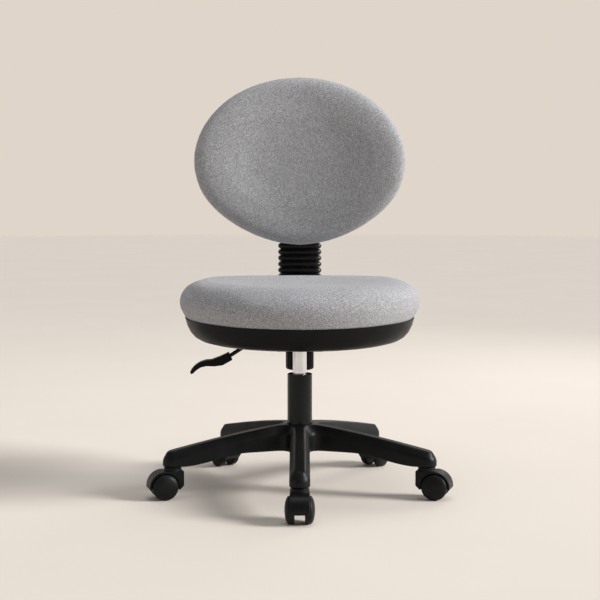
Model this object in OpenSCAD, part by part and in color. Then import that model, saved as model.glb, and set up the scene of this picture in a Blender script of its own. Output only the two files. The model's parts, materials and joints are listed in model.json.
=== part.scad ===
/* [Seat] */
// Half width of the seat cushion
seat_half_w = 242; // [235:0.5:250]
// Half depth of the seat cushion
seat_half_d = 220; // [210:1:222]
// Height of the cushion's underside above the floor, at the lowest setting
seat_z = 348; // [348:1:352]
// Thickness of the seat cushion at its rim
seat_t = 74; // [65:1:85]
// Depth of the dish in the middle of the seat
seat_dish = 13; // [8:1:18]
// How much higher the seat's sides are than its middle
seat_curl = 6; // [0:0.5:8]
// Depth of the plastic pan under the cushion
pan_depth = 47; // [46:0.5:50]

/* [Back] */
// Half width of the backrest
back_half_w = 222; // [215:1:230]
// Half height of the backrest
back_half_h = 175; // [170:1:182]
// Height of the backrest's middle above the floor
back_z = 665; // [660:1:675]
// How far the backrest's sides curl forward
back_wrap = 30; // [20:1:36]
// How much narrower the backrest is towards its bottom, as a share of its width
back_chin = 0.15; // [0:0.01:0.2]
// How far the backrest slides up its bar
back_rise = 40; // [20:1:40]

/* [Base] */
// Radius of the circle of caster stems
stem_circle_r = 263; // [260:1:280]
// Width of an arm
arm_w = 39; // [38:0.5:42]
// Width of the flat along an arm's top
arm_flat = 23; // [20:0.5:24]
// Height of the hub's top above the floor
hub_top = 135; // [130:1:136]

/* [Column] */
// Outer diameter of the column tube
tube_d = 50; // [50:0.5:51]
// Height of the tube's rim above the floor
tube_top = 236; // [225:1:236]
// Diameter of the gas cylinder
cylinder_d = 28; // [27:0.5:28]
// Travel of the gas cylinder
lift = 100; // [60:5:100]

/* [Casters] */
// Diameter of a wheel
wheel_d = 51; // [50:0.5:51]
// Distance from a caster's stem to its axle
trail = 18.6; // [18:0.1:19.5]
// Width over both wheels
caster_w = 56; // [54:0.5:58]

/* [Hidden] */
$fn = 64;

fit = 0.05;    // radial clearance of a shaft that runs in a hole
gap = 0.3;     // clearance between bodies that pass each other

// The five arms: the first points forward, along -Y
arm_count = 5;
function arm_angle(i) = -90 + 360 / arm_count * (i - 1);

// Arm heights above the floor, as distance from the column grows
socket_z = 64;          // underside of a caster socket
socket_r = 19.2;        // outer radius of a socket
socket_depth = 27;
arm_tip_top = 95.5;
arm_round = (arm_w - arm_flat) / 2;
function arm_top(r) = hub_top - (hub_top - arm_tip_top) * pow(max(0, r - 30) / (stem_circle_r - 30), 1.25);
hub_r = 41;
hub_z = 83;
arm_stations = [30, 80, 130, 180, 225, stem_circle_r - 1];
arm_underside = [
    [hub_r + 1, 0], [243, 0], [241, 65], [215, 68.5], [190, 74], [165, 80.5], [140, 86], [118, 88],
    [60, 87], [hub_r + 1, 85]
];
rib_stations = [62, 100, 143, 186, 228];
rib_t = 3;

// Column
tube_r = tube_d / 2;
tube_wall = 1.8;
tube_z = 85;
tube_floor = 4;
ring_wall = 4;
cylinder_r = cylinder_d / 2;
cylinder_z = 103;
bore_r = 12;             // gas cylinder's inside
taper_z = 286;           // where the cylinder's taper starts
taper_top = 321;
taper_r = 13.1;          // radius at the taper's top
socket_bottom = 284;     // taper socket
socket_out_r = 22;
rod_r = 5;
piston_z = cylinder_z + 35 + lift;
bearing_z = tube_z + tube_floor;
bearing_h = 9;

// Mechanism, which sits up inside the pan and is bolted to the seat board
channel_z = 287.5;       // underside of the channel
channel_wall = 2.5;
channel_half_w = 45;
channel_y = [-60, 92];
plate_half = [75, 88];
plate_t = 3;
bolt_at = [60, 72];
board_t = 12;
nut_lift = 0.7;          // a nut's flange above the board
seat_y = -8;             // middle of the seat, front to back

// Back bar, a steel strip bent up behind the seat
bar_w = 60;
bar_t = 8;
bar_z = channel_z + channel_wall + 1.5;  // underside of the bar's flat leg
bar_y = 245;             // middle of the upright leg
bar_front = 40;
height_knob_z = 600;
bar_top = height_knob_z + back_rise + 15;
bar_bend_r = 30;         // inside radius of the bend
depth_knob_y = 66;
knob_r = 29;
knob_z = 236;

// Lever
lever_z = 333.5;         // axis of the rod's inner stretch
lever_pivot_x = -28;
lever_rod_r = 4;
lever_bend_x = -46;
lever_slope = 33;
lever_grip_x = -136;

// Backrest, front to back at its middle
back_board_y = 205;
back_board_t = 9;

// Bellows over the upright leg
bellows_z = [330, 556];
bellows_half = [47.5, 20];
bellows_valley = 6.8;
bellows_wall = 2;
rib_pitch = 13.2;

// Caster
wheel_r = wheel_d / 2;
wheel_gap = 19;          // between the two wheels
web_half = wheel_gap / 2 - gap;
hood_r = 31;
hood_half_w = 18.5;
hood_inner_r = wheel_r + 1.5;
hood_z = 19.5;           // lowest edge of the hood
hood_heel = 19;          // how far the hood reaches behind the stem
neck_r = 17;
neck_top = 63.2;
stem_r = 5.5;
axle_r = 4;

black = "#1c1c1e";
grey = "#8c8e92";
steel = "#b9bcc0";

// ---------------------------------------------------------------- shared shapes

// A point of an oval at angle t; a larger exponent n squares it
function oval(a, b, t, n) = let (c = cos(t), s = sin(t), k = pow(pow(abs(c), n) + pow(abs(s), n), -1 / n))
    [a * k * c, b * k * s];

// Share of its width that an outline keeps at height y, from 1 at the top down to -1
function narrowing(chin, y) = 1 - chin * pow(max(0, -0.35 - y) / 0.65, 2);

// Closed solid through oval rings, each [inset from the outline, height], listed upwards on the outer
// surface. The first and last ring are closed by a point on the axis, or joined to each other when
// open is true. curl raises the solid's sides, and chin narrows it towards its lower end.
module oval_solid(a, b, rings, curl = 0, chin = 0, open = false, steps = 60, n = 2.15) {
    count = len(rings);
    function at(ring, t) =
        let (p = oval(a - ring[0], b - ring[0], t, n), x = p[0] * narrowing(chin, p[1] / b))
        [x, p[1], ring[1] + curl * pow(x / a, 2)];
    points = [
        for (ring = rings) for (k = [0:steps - 1]) at(ring, 360 * k / steps),
        [0, 0, rings[0][1]],
        [0, 0, rings[count - 1][1]]
    ];
    last = open ? count - 1 : count - 2;
    sides = [
        for (i = [0:last]) for (k = [0:steps - 1])
            let (j = (i + 1) % count, m = (k + 1) % steps)
            [[i * steps + k, j * steps + k, j * steps + m], [i * steps + k, j * steps + m, i * steps + m]]
    ];
    caps = open ? [] : [
        for (k = [0:steps - 1]) let (m = (k + 1) % steps)
            [[count * steps, k, m], [count * steps + 1, (count - 1) * steps + m, (count - 1) * steps + k]]
    ];
    polyhedron(points, [for (pair = concat(sides, caps)) for (face = pair) face], convexity = 6);
}

module at_corners(p) {
    for (x = [-p[0], p[0]]) for (y = [-p[1], p[1]]) translate([x, y, 0]) children();
}

// A round tube between two radii and two heights
module tube(r_out, r_in, z0, z1) {
    difference() {
        translate([0, 0, z0]) cylinder(r = r_out, h = z1 - z0);
        translate([0, 0, z0 - 1]) cylinder(r = r_in, h = z1 - z0 + 2);
    }
}

// ---------------------------------------------------------------- base

module arm_body() {
    hull() {
        for (r = arm_stations) for (s = [-1, 1])
            translate([r, s * arm_flat / 2, arm_top(r) - arm_round]) sphere(r = arm_round, $fn = 24);
        translate([stem_circle_r, 0, socket_z]) cylinder(r = socket_r, h = 18, $fn = 40);
        translate([10, -arm_w / 2, 84]) cube([200, arm_w, 4]);
    }
}

module arm_pockets() {
    wall = 5;
    pocket_z = 60;
    for (i = [0:len(rib_stations) - 2])
        let (r0 = rib_stations[i] + rib_t / 2, r1 = rib_stations[i + 1] - rib_t / 2)
            translate([r0, wall - arm_w / 2, pocket_z])
                cube([r1 - r0, arm_w - 2 * wall, arm_top(r1) - pocket_z - wall - 1]);
}

module base_star() {
    color(black) difference() {
        union() {
            for (i = [1:arm_count]) rotate(arm_angle(i)) arm_body();
            translate([0, 0, hub_z]) cylinder(r = hub_r, h = hub_top - hub_z - 2);
            translate([0, 0, hub_top - 2]) cylinder(r1 = hub_r, r2 = hub_r - 2, h = 2);
        }
        for (i = [1:arm_count]) rotate(arm_angle(i)) {
            translate([0, arm_w, 0]) rotate([90, 0, 0]) linear_extrude(2 * arm_w) polygon(arm_underside);
            arm_pockets();
            translate([stem_circle_r, 0, socket_z - 1]) cylinder(r = stem_r + fit, h = socket_depth + 1);
        }
        cylinder(r = hub_r + 1.5, h = hub_z);
        cylinder(r = tube_r + ring_wall, h = hub_top - 2);
        cylinder(r = tube_r + fit, h = hub_top + 5);
    }
}

module hub_ring() {
    color(steel) tube(tube_r + ring_wall, tube_r, hub_z + 2, hub_top - 2);
}

module column_tube() {
    color(black) difference() {
        translate([0, 0, tube_z]) cylinder(r = tube_r, h = tube_top - tube_z);
        translate([0, 0, tube_z + tube_floor]) cylinder(r = tube_r - tube_wall, h = tube_top);
        cylinder(r = rod_r + fit, h = tube_top);
    }
}

module column_bush() {
    notch_count = 8;
    bush_r = tube_r - tube_wall;
    bush_z = cylinder_z + 22;
    color(black) difference() {
        tube(bush_r, cylinder_r + fit, bush_z, tube_top - 0.6);
        for (i = [0:notch_count - 1]) rotate(360 / notch_count * i)
            translate([bush_r - 4, -1.5, tube_top - 4]) cube([5, 3, 5]);
    }
}

module thrust_bearing() {
    color(steel) {
        tube(15, rod_r + fit, bearing_z, bearing_z + 2);
        tube(13.5, rod_r + 1.5, bearing_z + 2, bearing_z + 7);
        tube(15, rod_r + fit, bearing_z + 7, bearing_z + bearing_h);
    }
}

module piston_rod() {
    color(steel) difference() {
        union() {
            translate([0, 0, tube_z - 4]) cylinder(r = rod_r, h = piston_z - tube_z + 5);
            translate([0, 0, piston_z]) cylinder(r = bore_r - 0.1, h = 10);
            translate([0, 0, bearing_z + bearing_h + gap]) cylinder(r = 9, h = 3);
        }
        translate([0, 0, tube_z - 2.5]) difference() {
            cylinder(r = rod_r + 1, h = 1.4);
            cylinder(r = rod_r - 1, h = 1.4);
        }
    }
}

module retaining_clip() {
    color(steel) translate([0, 0, tube_z - 2.4]) difference() {
        cylinder(r = 9, h = 1.2);
        cylinder(r = rod_r - 1, h = 3, center = true);
        translate([0, -3, -1]) cube([12, 6, 3]);
    }
}

// ---------------------------------------------------------------- gas cylinder and mechanism

module gas_cylinder() {
    color(steel) difference() {
        union() {
            translate([0, 0, cylinder_z]) cylinder(r = cylinder_r, h = taper_z - cylinder_z);
            translate([0, 0, taper_z]) cylinder(r1 = cylinder_r, r2 = taper_r, h = taper_top - taper_z);
        }
        translate([0, 0, cylinder_z + 12]) cylinder(r = bore_r, h = taper_top - cylinder_z - 30);
        cylinder(r = rod_r + fit, h = cylinder_z + 20);
        cylinder(r = 4 + fit, h = taper_top + 5);
    }
}

module taper_socket() {
    color(steel) difference() {
        union() {
            translate([0, 0, socket_bottom]) cylinder(r = socket_out_r, h = taper_top + 4 - socket_bottom);
            translate([0, 0, channel_z - 3]) cylinder(r = 30, h = 3);
        }
        cylinder(r = cylinder_r, h = taper_z);
        translate([0, 0, taper_z]) cylinder(r1 = cylinder_r, r2 = taper_r, h = taper_top - taper_z);
        cylinder(r = taper_r, h = taper_top + 5);
    }
}

module mechanism_plate() {
    top = seat_z;
    length = channel_y[1] - channel_y[0];
    height = top - plate_t - channel_z;
    color(black) difference() {
        union() {
            translate([-plate_half[0], -plate_half[1], top - plate_t])
                cube([2 * plate_half[0], 2 * plate_half[1], plate_t]);
            for (x = [-channel_half_w, channel_half_w - channel_wall]) translate([x, channel_y[0], channel_z])
                cube([channel_wall, length, height]);
            translate([-channel_half_w, channel_y[0], channel_z]) {
                cube([2 * channel_half_w, length, channel_wall]);
                cube([2 * channel_half_w, channel_wall, height]);
            }
            for (s = [-1, 1]) translate([lever_pivot_x - 7, s * 7.5 - 1.5, lever_z - 7])
                cube([14, 3, top - plate_t - lever_z + 7]);
        }
        cylinder(r = socket_out_r, h = taper_top + 2);
        translate([-channel_half_w - 1, -9, lever_z - 18]) cube([channel_wall + 2, 18, 28]);
        translate([lever_pivot_x, 0, lever_z]) rotate([90, 0, 0]) cylinder(r = 2.5, h = 40, center = true);
        translate([0, depth_knob_y, channel_z - 1]) cylinder(r = 4 + 2 * fit, h = 5);
        translate([0, 0, top - 5]) at_corners(bolt_at) cylinder(r = 3.2, h = 10);
    }
}

module bar_guide() {
    guide_y = [75, 92];
    color(black) difference() {
        translate([-channel_half_w + channel_wall, guide_y[0], channel_z + channel_wall])
            cube([2 * (channel_half_w - channel_wall), guide_y[1] - guide_y[0], 16]);
        translate([-bar_w / 2 - gap, guide_y[0] - 1, bar_z - gap])
            cube([bar_w + 2 * gap, 30, bar_t + 2 * gap]);
    }
}

module lever_pivot() {
    color(steel) translate([lever_pivot_x, 0, lever_z]) rotate([90, 0, 0]) {
        cylinder(r = 2.5, h = 21, center = true);
        for (s = [-1, 1]) translate([0, 0, s * 10]) cylinder(r = 4, h = 1.6, center = true);
    }
}

module plate_bolts() {
    color(steel) at_corners(bolt_at) {
        translate([0, 0, seat_z - plate_t - 4]) cylinder(r = 5.5, h = 4, $fn = 6);
        translate([0, 0, seat_z - plate_t]) cylinder(r = 3, h = plate_t + board_t - 2);
    }
}

module seat_nuts() {
    color(steel) at_corners(bolt_at) {
        tube(4.2, 3, seat_z + 0.5, seat_z + board_t + nut_lift);
        tube(9, 3, seat_z + board_t + nut_lift, seat_z + board_t + nut_lift + 1.5);
    }
}

// ---------------------------------------------------------------- seat

function backwards(list) = [for (i = [len(list) - 1:-1:0]) list[i]];

// Rounded edge as rings from [inset, z] inwards over a quarter turn
function edge_rings(inset, z, r_in, r_up, steps = 5) = [
    for (i = [0:steps]) let (t = 90 * i / steps) [inset + r_in * (1 - cos(t)), z + r_up * sin(t)]
];

// The dished top, from the rim's crown to the middle
function dish_rings(z) = [
    for (f = [0.25, 0.5, 0.75, 1]) [44 + f * 150, z - seat_dish * (1 - cos(180 * f)) / 2]
];

skin = 2;
foam_gap = 0.3;
lip = 38;
function seat_rings(inset, z0, top) = concat(
    [[13 + inset, z0], [5 + inset, 5 + z0], [1 + inset, 16]],
    edge_rings(inset, 32, 44 - inset, top - 32),
    dish_rings(top)
);

module on_seat() {
    translate([0, seat_y, seat_z]) children();
}

// The seat's curl for a solid of half width a
function curl_at(a) = seat_curl * pow(a / seat_half_w, 2);

board_inset = 20;
module seat_board() {
    insets = [150, 100, 50, 0];
    color("tan") on_seat() difference() {
        oval_solid(seat_half_w - board_inset, seat_half_d - board_inset,
            curl = curl_at(seat_half_w - board_inset),
            rings = concat([for (i = insets) [i, 1.5]], [for (i = backwards(insets)) [i, board_t]]));
        translate([0, -seat_y, 0]) at_corners(bolt_at) cylinder(r = 4.2, h = board_t + 1);
    }
}

module seat_foam() {
    color("khaki") on_seat() difference() {
        oval_solid(seat_half_w, seat_half_d, curl = seat_curl, rings = concat([[7, board_t]], [
            for (ring = seat_rings(skin + foam_gap, 1.5, seat_t - skin - foam_gap))
                if (ring[1] > board_t + 2) ring
        ]));
        translate([0, -seat_y, 0]) at_corners(bolt_at) cylinder(r = 9.2, h = board_t + nut_lift + 1.6);
    }
}

module seat_upholstery() {
    color(grey) on_seat() oval_solid(seat_half_w, seat_half_d, curl = seat_curl, rings = concat(
        backwards(seat_rings(skin, 1.4, seat_t - skin)), [[lip, 1.4], [lip, 0]], seat_rings(0, 0, seat_t)));
}

pan_half_w = seat_half_w - 13;
pan_half_d = seat_half_d - 12;
pan_wall = 3;
pan_opening = 98;
pan_boss = [120, 110];
pan_side = [
    [47, -pan_depth], [30, 4 - pan_depth], [19, 10 - pan_depth], [10, 20 - pan_depth],
    [4, 32 - pan_depth], [0, -gap]
];

module seat_pan() {
    side_in = [for (ring = pan_side) [ring[0] + pan_wall, min(ring[1] + pan_wall, -gap)]];
    color(black) on_seat() difference() {
        union() {
            oval_solid(pan_half_w, pan_half_d, curl = curl_at(pan_half_w), open = true, rings = concat(
                [[pan_opening, pan_wall - pan_depth], [pan_opening, -pan_depth]],
                pan_side, backwards(side_in)));
            translate([0, 0, 2 - pan_depth]) at_corners(pan_boss) cylinder(r = 7, h = pan_depth - 2 - gap);
        }
        translate([0, 0, -pan_depth - 1]) at_corners(pan_boss) {
            cylinder(r = 2.5, h = pan_depth + 2);
            cylinder(r = 4.5, h = 5);
        }
    }
}

module pan_screws() {
    color(steel) on_seat() at_corners(pan_boss) {
        translate([0, 0, 1 - pan_depth]) cylinder(r = 4.2, h = 3);
        translate([0, 0, 4 - pan_depth]) cylinder(r = 2.4, h = pan_depth + 4);
    }
}

// ---------------------------------------------------------------- lever and knobs

// The rod runs level over the release button, then turns down at a knuckle to the grip
module lever_rod() {
    inner_x = 8;
    knuckle_r = lever_rod_r + 0.8;
    outer_x = lever_grip_x - 12;
    outer_z = lever_z + (outer_x - lever_bend_x) * tan(lever_slope);
    color(black) difference() {
        union() {
            translate([lever_bend_x, 0, lever_z]) {
                rotate([0, 90, 0]) cylinder(r = lever_rod_r, h = inner_x - lever_bend_x);
                sphere(r = knuckle_r);
            }
            translate([outer_x, 0, outer_z]) rotate([0, 90 - lever_slope, 0])
                cylinder(r = lever_rod_r, h = (lever_bend_x - outer_x) / cos(lever_slope));
            translate([lever_pivot_x, 0, lever_z]) rotate([90, 0, 0]) cylinder(r = 6, h = 11, center = true);
        }
        translate([lever_pivot_x, 0, lever_z]) rotate([90, 0, 0])
            cylinder(r = 2.5 + fit, h = 40, center = true);
    }
}

// Side outline of the grip, from its sleeve out to the drooping tip
grip_outline = [
    [-136, 264], [-143.5, 279.5], [-160, 271.5], [-178, 264.5], [-190, 263.5], [-201, 260],
    [-211, 253.5], [-218, 246], [-221.5, 239], [-219.5, 235], [-215, 236.5], [-208, 243.5],
    [-199, 249.5], [-188, 252], [-172, 251.5], [-155, 253.5]
];
grip_w = 26;

module lever_grip() {
    color(black) difference() {
        intersection() {
            translate([0, grip_w / 2, 0]) rotate([90, 0, 0]) linear_extrude(grip_w) polygon(grip_outline);
            translate([0, 0, 200]) linear_extrude(100) hull() {
                translate([-140, 0]) square([12, 17], center = true);
                translate([-205, 0]) circle(r = grip_w / 2);
                translate([-212, 0]) circle(r = 10);
            }
        }
        translate([lever_bend_x, 0, lever_z]) rotate([0, -90 - lever_slope, 0]) {
            cylinder(r = lever_rod_r, h = (lever_bend_x - lever_grip_x + 12) / cos(lever_slope));
        }
    }
}

module release_button() {
    top = lever_z - lever_rod_r - gap;
    color(steel) {
        translate([0, 0, taper_top - 14]) cylinder(r = 4, h = top + 10 - taper_top);
        translate([0, 0, top - 4]) cylinder(r1 = 4, r2 = 1.5, h = 4);
    }
}

// Hand knob with its axis along +Z: grooves run down a round skirt below a collar and a threaded stud
module fluted_knob(r, body_h, collar_h, stud_h) {
    flutes = 18;
    color(black) {
        difference() {
            rotate_extrude() polygon([
                [0, 0], [r - 5, 0], [r - 1.5, 1.2], [r, 4.5], [r, body_h - 2], [r - 2, body_h], [0, body_h]
            ]);
            for (i = [0:flutes - 1]) rotate(360 / flutes * i)
                translate([r + 1, 0, 3]) cylinder(r = 2.3, h = body_h);
        }
        translate([0, 0, body_h]) cylinder(r1 = r * 0.62, r2 = r * 0.42, h = collar_h);
    }
    color(steel) translate([0, 0, body_h + collar_h]) cylinder(r = 4, h = stud_h);
}

module depth_knob() {
    translate([0, depth_knob_y, knob_z])
        fluted_knob(knob_r, 38, channel_z - gap - knob_z - 38, bar_z - channel_z);
}

// ---------------------------------------------------------------- back bar

bend_y = bar_y - bar_t / 2 - bar_bend_r;
bend_z = bar_z + bar_t + bar_bend_r;
cap_h = 12;
cap_wall = 1.5;

module back_bar() {
    color(black) difference() {
        union() {
            translate([-bar_w / 2, bar_front, bar_z]) cube([bar_w, bend_y - bar_front, bar_t]);
            translate([-bar_w / 2, bend_y, bend_z]) rotate([90, 0, 90]) strip_bend();
            translate([-bar_w / 2, bar_y - bar_t / 2, bend_z]) cube([bar_w, bar_t, bar_top - cap_h - bend_z]);
            translate([cap_wall - bar_w / 2, bar_y - bar_t / 2 + cap_wall, bar_top - cap_h - 1])
                cube([bar_w - 2 * cap_wall, bar_t - 2 * cap_wall, cap_h - 1]);
        }
        for (z = [550:25:bar_top - 30])
            translate([0, bar_y + bar_t / 2 + 1, z]) rotate([90, 0, 0]) cylinder(r = 3, h = 3);
    }
}

// A quarter turn of the strip, from its flat leg up to its upright one
module strip_bend() {
    linear_extrude(bar_w) rotate(-90) difference() {
        intersection() {
            circle(r = bar_bend_r + bar_t);
            square(bar_bend_r + bar_t);
        }
        circle(r = bar_bend_r);
    }
}

module bar_end_cap() {
    color(black) difference() {
        translate([-bar_w / 2, bar_y - bar_t / 2, bar_top - cap_h]) cube([bar_w, bar_t, cap_h + 1]);
        translate([cap_wall - bar_w / 2, bar_y - bar_t / 2 + cap_wall, bar_top - cap_h - 1])
            cube([bar_w - 2 * cap_wall, bar_t - 2 * cap_wall, cap_h - 1]);
    }
}

module bellows() {
    ribs = round((bellows_z[1] - bellows_z[0]) / rib_pitch);
    pitch = (bellows_z[1] - bellows_z[0]) / ribs;
    outer = [for (i = [0:2 * ribs]) [i % 2 == 0 ? bellows_valley : 0, bellows_z[0] + pitch * i / 2]];
    inner = [for (i = [2 * ribs:-1:0]) [outer[i][0] + bellows_wall, outer[i][1]]];
    color(black) translate([0, bar_y, 0])
        oval_solid(bellows_half[0], bellows_half[1], concat(outer, inner), open = true, steps = 32, n = 3.5);
}

// ---------------------------------------------------------------- backrest

// Children's own Z points forward from the middle of the board's front face
module on_back() {
    translate([0, back_board_y, back_z]) rotate([90, 0, 0]) children();
}

module back_solid(rings) {
    oval_solid(back_half_w, back_half_h, rings, curl = back_wrap, chin = back_chin, n = 2);
}

// Rings of the pad from behind the board's edge, round the rim and in to the hollow middle
function back_rings(t) = [
    [22 + t, -11 + 0.9 * t], [9 + t, 0.7 * t - 6], [2 + t, 4], [t, 15],
    [3 + t, 27 - 0.5 * t], [11 + 0.8 * t, 35.5 - 0.85 * t], [24 + 0.5 * t, 41 - t],
    [42, 43 - t], [80, 40.5 - t], [120, 37.5 - t], [160, 36 - t]
];

module back_upholstery() {
    color(grey) on_back() back_solid(concat(
        backwards(back_rings(skin)), [[50, -11 + 0.9 * skin], [50, -11]], back_rings(0)));
}

module back_foam() {
    t = skin + foam_gap;
    color("khaki") on_back()
        back_solid(concat([[9 + t, gap]], [for (ring = back_rings(t)) if (ring[1] > gap) ring]));
}

module back_board() {
    color("tan") on_back() back_solid([[27, -back_board_t], [27, 0]]);
}

cover_outer = [[160, -70], [120, -68], [85, -63], [55, -53], [36, -39], [27, -25], [24, -11.3]];

module back_cover() {
    inner = [for (ring = cover_outer) [ring[0] + 3, min(ring[1] + 3, -11.3)]];
    color(black) difference() {
        on_back() back_solid(concat(cover_outer, backwards(inner)));
        translate([0, 350, height_knob_z]) rotate([90, 0, 0]) cylinder(r = 17, h = 120);
        translate([0, bar_y, 400]) linear_extrude(160) polygon([
            for (k = [0:39]) oval(bellows_half[0] + 2, bellows_half[1] + 2, 9 * k, 3.5)
        ]);
    }
}

module height_bracket() {
    flange_y = back_board_y + back_board_t + gap;
    wall = 2.5;
    sleeve = [bar_w / 2 + gap, bar_t / 2 + gap];
    z0 = 560;
    h = 120;
    color(black) difference() {
        union() {
            translate([-55, flange_y, z0 + 10]) cube([110, wall, h - 20]);
            translate([-sleeve[0] - wall, flange_y, z0])
                cube([2 * (sleeve[0] + wall), bar_y + sleeve[1] + wall - flange_y, h]);
        }
        translate([-sleeve[0], bar_y - sleeve[1], z0 - 1]) cube([2 * sleeve[0], 2 * sleeve[1], h + 2]);
        translate([-sleeve[0], flange_y + wall, z0 - 1])
            cube([2 * sleeve[0], bar_y - sleeve[1] - 2 * wall - flange_y, h + 2]);
        translate([0, bar_y + 20, height_knob_z]) rotate([90, 0, 0]) cylinder(r = 4 + 2 * fit, h = 20);
        for (x = [-45, 45]) for (z = back_screw_z)
            translate([x, flange_y + 10, z]) rotate([90, 0, 0]) cylinder(r = 3.1, h = 20);
    }
}

back_screw_z = [590, 650];

module back_screws() {
    head_y = back_board_y + back_board_t + gap + 2.5;
    color(steel) for (x = [-45, 45]) for (z = back_screw_z) translate([x, head_y, z]) rotate([90, 0, 0]) {
        translate([0, 0, -3]) cylinder(r = 5.5, h = 3);
        cylinder(r = 3, h = 9);
    }
}

module height_knob() {
    outer_y = 312;
    collar_y = bar_y + bar_t / 2 + 0.6 + 3;
    translate([0, outer_y, height_knob_z]) rotate([90, 0, 0])
        fluted_knob(24, 30, outer_y - 30 - collar_y, collar_y - bar_y - bar_t / 2 - gap);
}

// ---------------------------------------------------------------- casters

module on_caster(i) {
    rotate(arm_angle(i)) translate([stem_circle_r, 0, 0]) children();
}

// Lays children along the axle: their own Z runs across the caster, to its left seen from the hub
module on_axle() {
    translate([trail, 0, wheel_r]) rotate([-90, 0, 0]) children();
}

module caster_stem(i) {
    color(steel) on_caster(i) {
        translate([0, 0, 34]) cylinder(r = stem_r, h = socket_z + 22 - 34);
        translate([0, 0, neck_top]) cylinder(r = 9, h = socket_z - gap - neck_top);
        translate([0, 0, socket_z + 22]) cylinder(r1 = stem_r, r2 = stem_r - 1.5, h = 3);
    }
}

module caster_hood(i) {
    color(black) on_caster(i) difference() {
        union() {
            intersection() {
                on_axle() cylinder(r = hood_r, h = 2 * hood_half_w, center = true);
                translate([-40, -40, hood_z]) cube([100, 80, 60]);
            }
            translate([-hood_heel, -hood_half_w, hood_z])
                cube([hood_heel + trail, 2 * hood_half_w, wheel_r + hood_r - hood_z - 0.6]);
            translate([0, 0, 50]) cylinder(r = neck_r, h = neck_top - 50);
        }
        for (s = [-1, 1]) on_axle() translate([0, 0, s * (web_half + 15)])
            cylinder(r = hood_inner_r, h = 30, center = true);
        translate([-hood_heel, 0, hood_z]) rotate([0, 45, 0]) cube([11, 100, 11], center = true);
        translate([trail + 9, -40, 0]) cube([60, 80, wheel_r - 3.5]);
        on_axle() cylinder(r = axle_r, h = 80, center = true);
        translate([0, 0, 34]) cylinder(r = stem_r, h = 60);
    }
}

module caster_axle(i) {
    color(steel) on_caster(i) on_axle() cylinder(r = axle_r, h = 2 * (caster_w / 2 - 7), center = true);
}

module wheel(i, side) {
    inner = wheel_gap / 2;
    outer = caster_w / 2;
    color(black) on_caster(i) on_axle() rotate([side > 0 ? 0 : 180, 0, 0]) rotate_extrude() polygon([
        [axle_r + fit, inner], [wheel_r - 2, inner], [wheel_r, inner + 2], [wheel_r, outer - 7],
        [wheel_r - 1, outer - 4], [wheel_r - 4, outer - 1.6], [wheel_r - 9, outer - 0.4],
        [wheel_r - 15, outer], [0, outer], [0, outer - 6], [axle_r + fit, outer - 6]
    ]);
}

// ---------------------------------------------------------------- nodes

base_star();
hub_ring();
column_tube();
column_bush();
thrust_bearing();
piston_rod();
retaining_clip();
gas_cylinder();
taper_socket();
mechanism_plate();
bar_guide();
lever_pivot();
plate_bolts();
seat_nuts();
seat_board();
seat_foam();
seat_upholstery();
seat_pan();
pan_screws();
lever_rod();
lever_grip();
release_button();
depth_knob();
back_bar();
bar_end_cap();
bellows();
height_bracket();
back_board();
back_foam();
back_upholstery();
back_cover();
back_screws();
height_knob();

for (i = [1:arm_count]) {
    caster_stem(i);
    caster_hood(i);
    caster_axle(i);
    wheel(i, 1);
    wheel(i, -1);
}
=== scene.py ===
"""A swivel task chair with an oval backrest: its looks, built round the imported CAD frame.

Everything is in metres, in the frame's own axes: +Z up, the sitter faces -Y.
"""

import json
import math

import bmesh
import bpy
import numpy as np
from mathutils import Matrix, Vector

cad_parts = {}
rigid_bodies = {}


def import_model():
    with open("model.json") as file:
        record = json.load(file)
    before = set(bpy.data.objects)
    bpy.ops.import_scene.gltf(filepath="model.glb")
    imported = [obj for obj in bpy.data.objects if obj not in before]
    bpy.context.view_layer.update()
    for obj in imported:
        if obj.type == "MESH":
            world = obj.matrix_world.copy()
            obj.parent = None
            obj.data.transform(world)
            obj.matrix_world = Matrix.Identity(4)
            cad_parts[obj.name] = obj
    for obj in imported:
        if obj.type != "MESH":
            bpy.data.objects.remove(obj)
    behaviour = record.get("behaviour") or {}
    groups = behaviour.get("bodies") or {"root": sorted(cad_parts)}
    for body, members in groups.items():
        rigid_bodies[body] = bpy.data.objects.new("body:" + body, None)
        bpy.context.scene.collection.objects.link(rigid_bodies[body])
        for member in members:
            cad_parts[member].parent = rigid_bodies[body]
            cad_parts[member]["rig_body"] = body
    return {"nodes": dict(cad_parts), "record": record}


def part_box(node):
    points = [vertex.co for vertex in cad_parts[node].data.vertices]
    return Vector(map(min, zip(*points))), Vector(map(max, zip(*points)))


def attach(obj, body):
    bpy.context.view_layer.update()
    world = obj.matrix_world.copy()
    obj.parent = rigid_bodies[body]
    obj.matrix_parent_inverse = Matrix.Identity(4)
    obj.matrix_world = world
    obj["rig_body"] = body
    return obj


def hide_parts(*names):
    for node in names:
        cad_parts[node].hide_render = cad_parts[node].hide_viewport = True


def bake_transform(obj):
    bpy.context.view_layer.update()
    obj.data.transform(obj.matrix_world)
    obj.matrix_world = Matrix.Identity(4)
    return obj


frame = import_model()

MM = 0.001
ARMS = 5

bpy.context.view_layer.update()


# ---------------------------------------------------------------- places, read from the frame


def centre(node):
    low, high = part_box(node)
    return (low + high) / 2


def half_width(node):
    low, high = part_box(node)
    return (high.x - low.x) / 2


seat_low, seat_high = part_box("seat_upholstery")
back_low, back_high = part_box("back_upholstery")
bellows_low, bellows_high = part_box("bellows")
star_low, star_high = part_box("base_star")
board_low, board_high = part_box("seat_board")
back_board_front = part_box("back_board")[0].y
stem_circle = -centre("caster_stem_1").y
wheel_radius = centre("wheel_left_1").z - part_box("wheel_left_1")[0].z
tube_radius = half_width("column_tube")
ring_radius = half_width("hub_ring")


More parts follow.
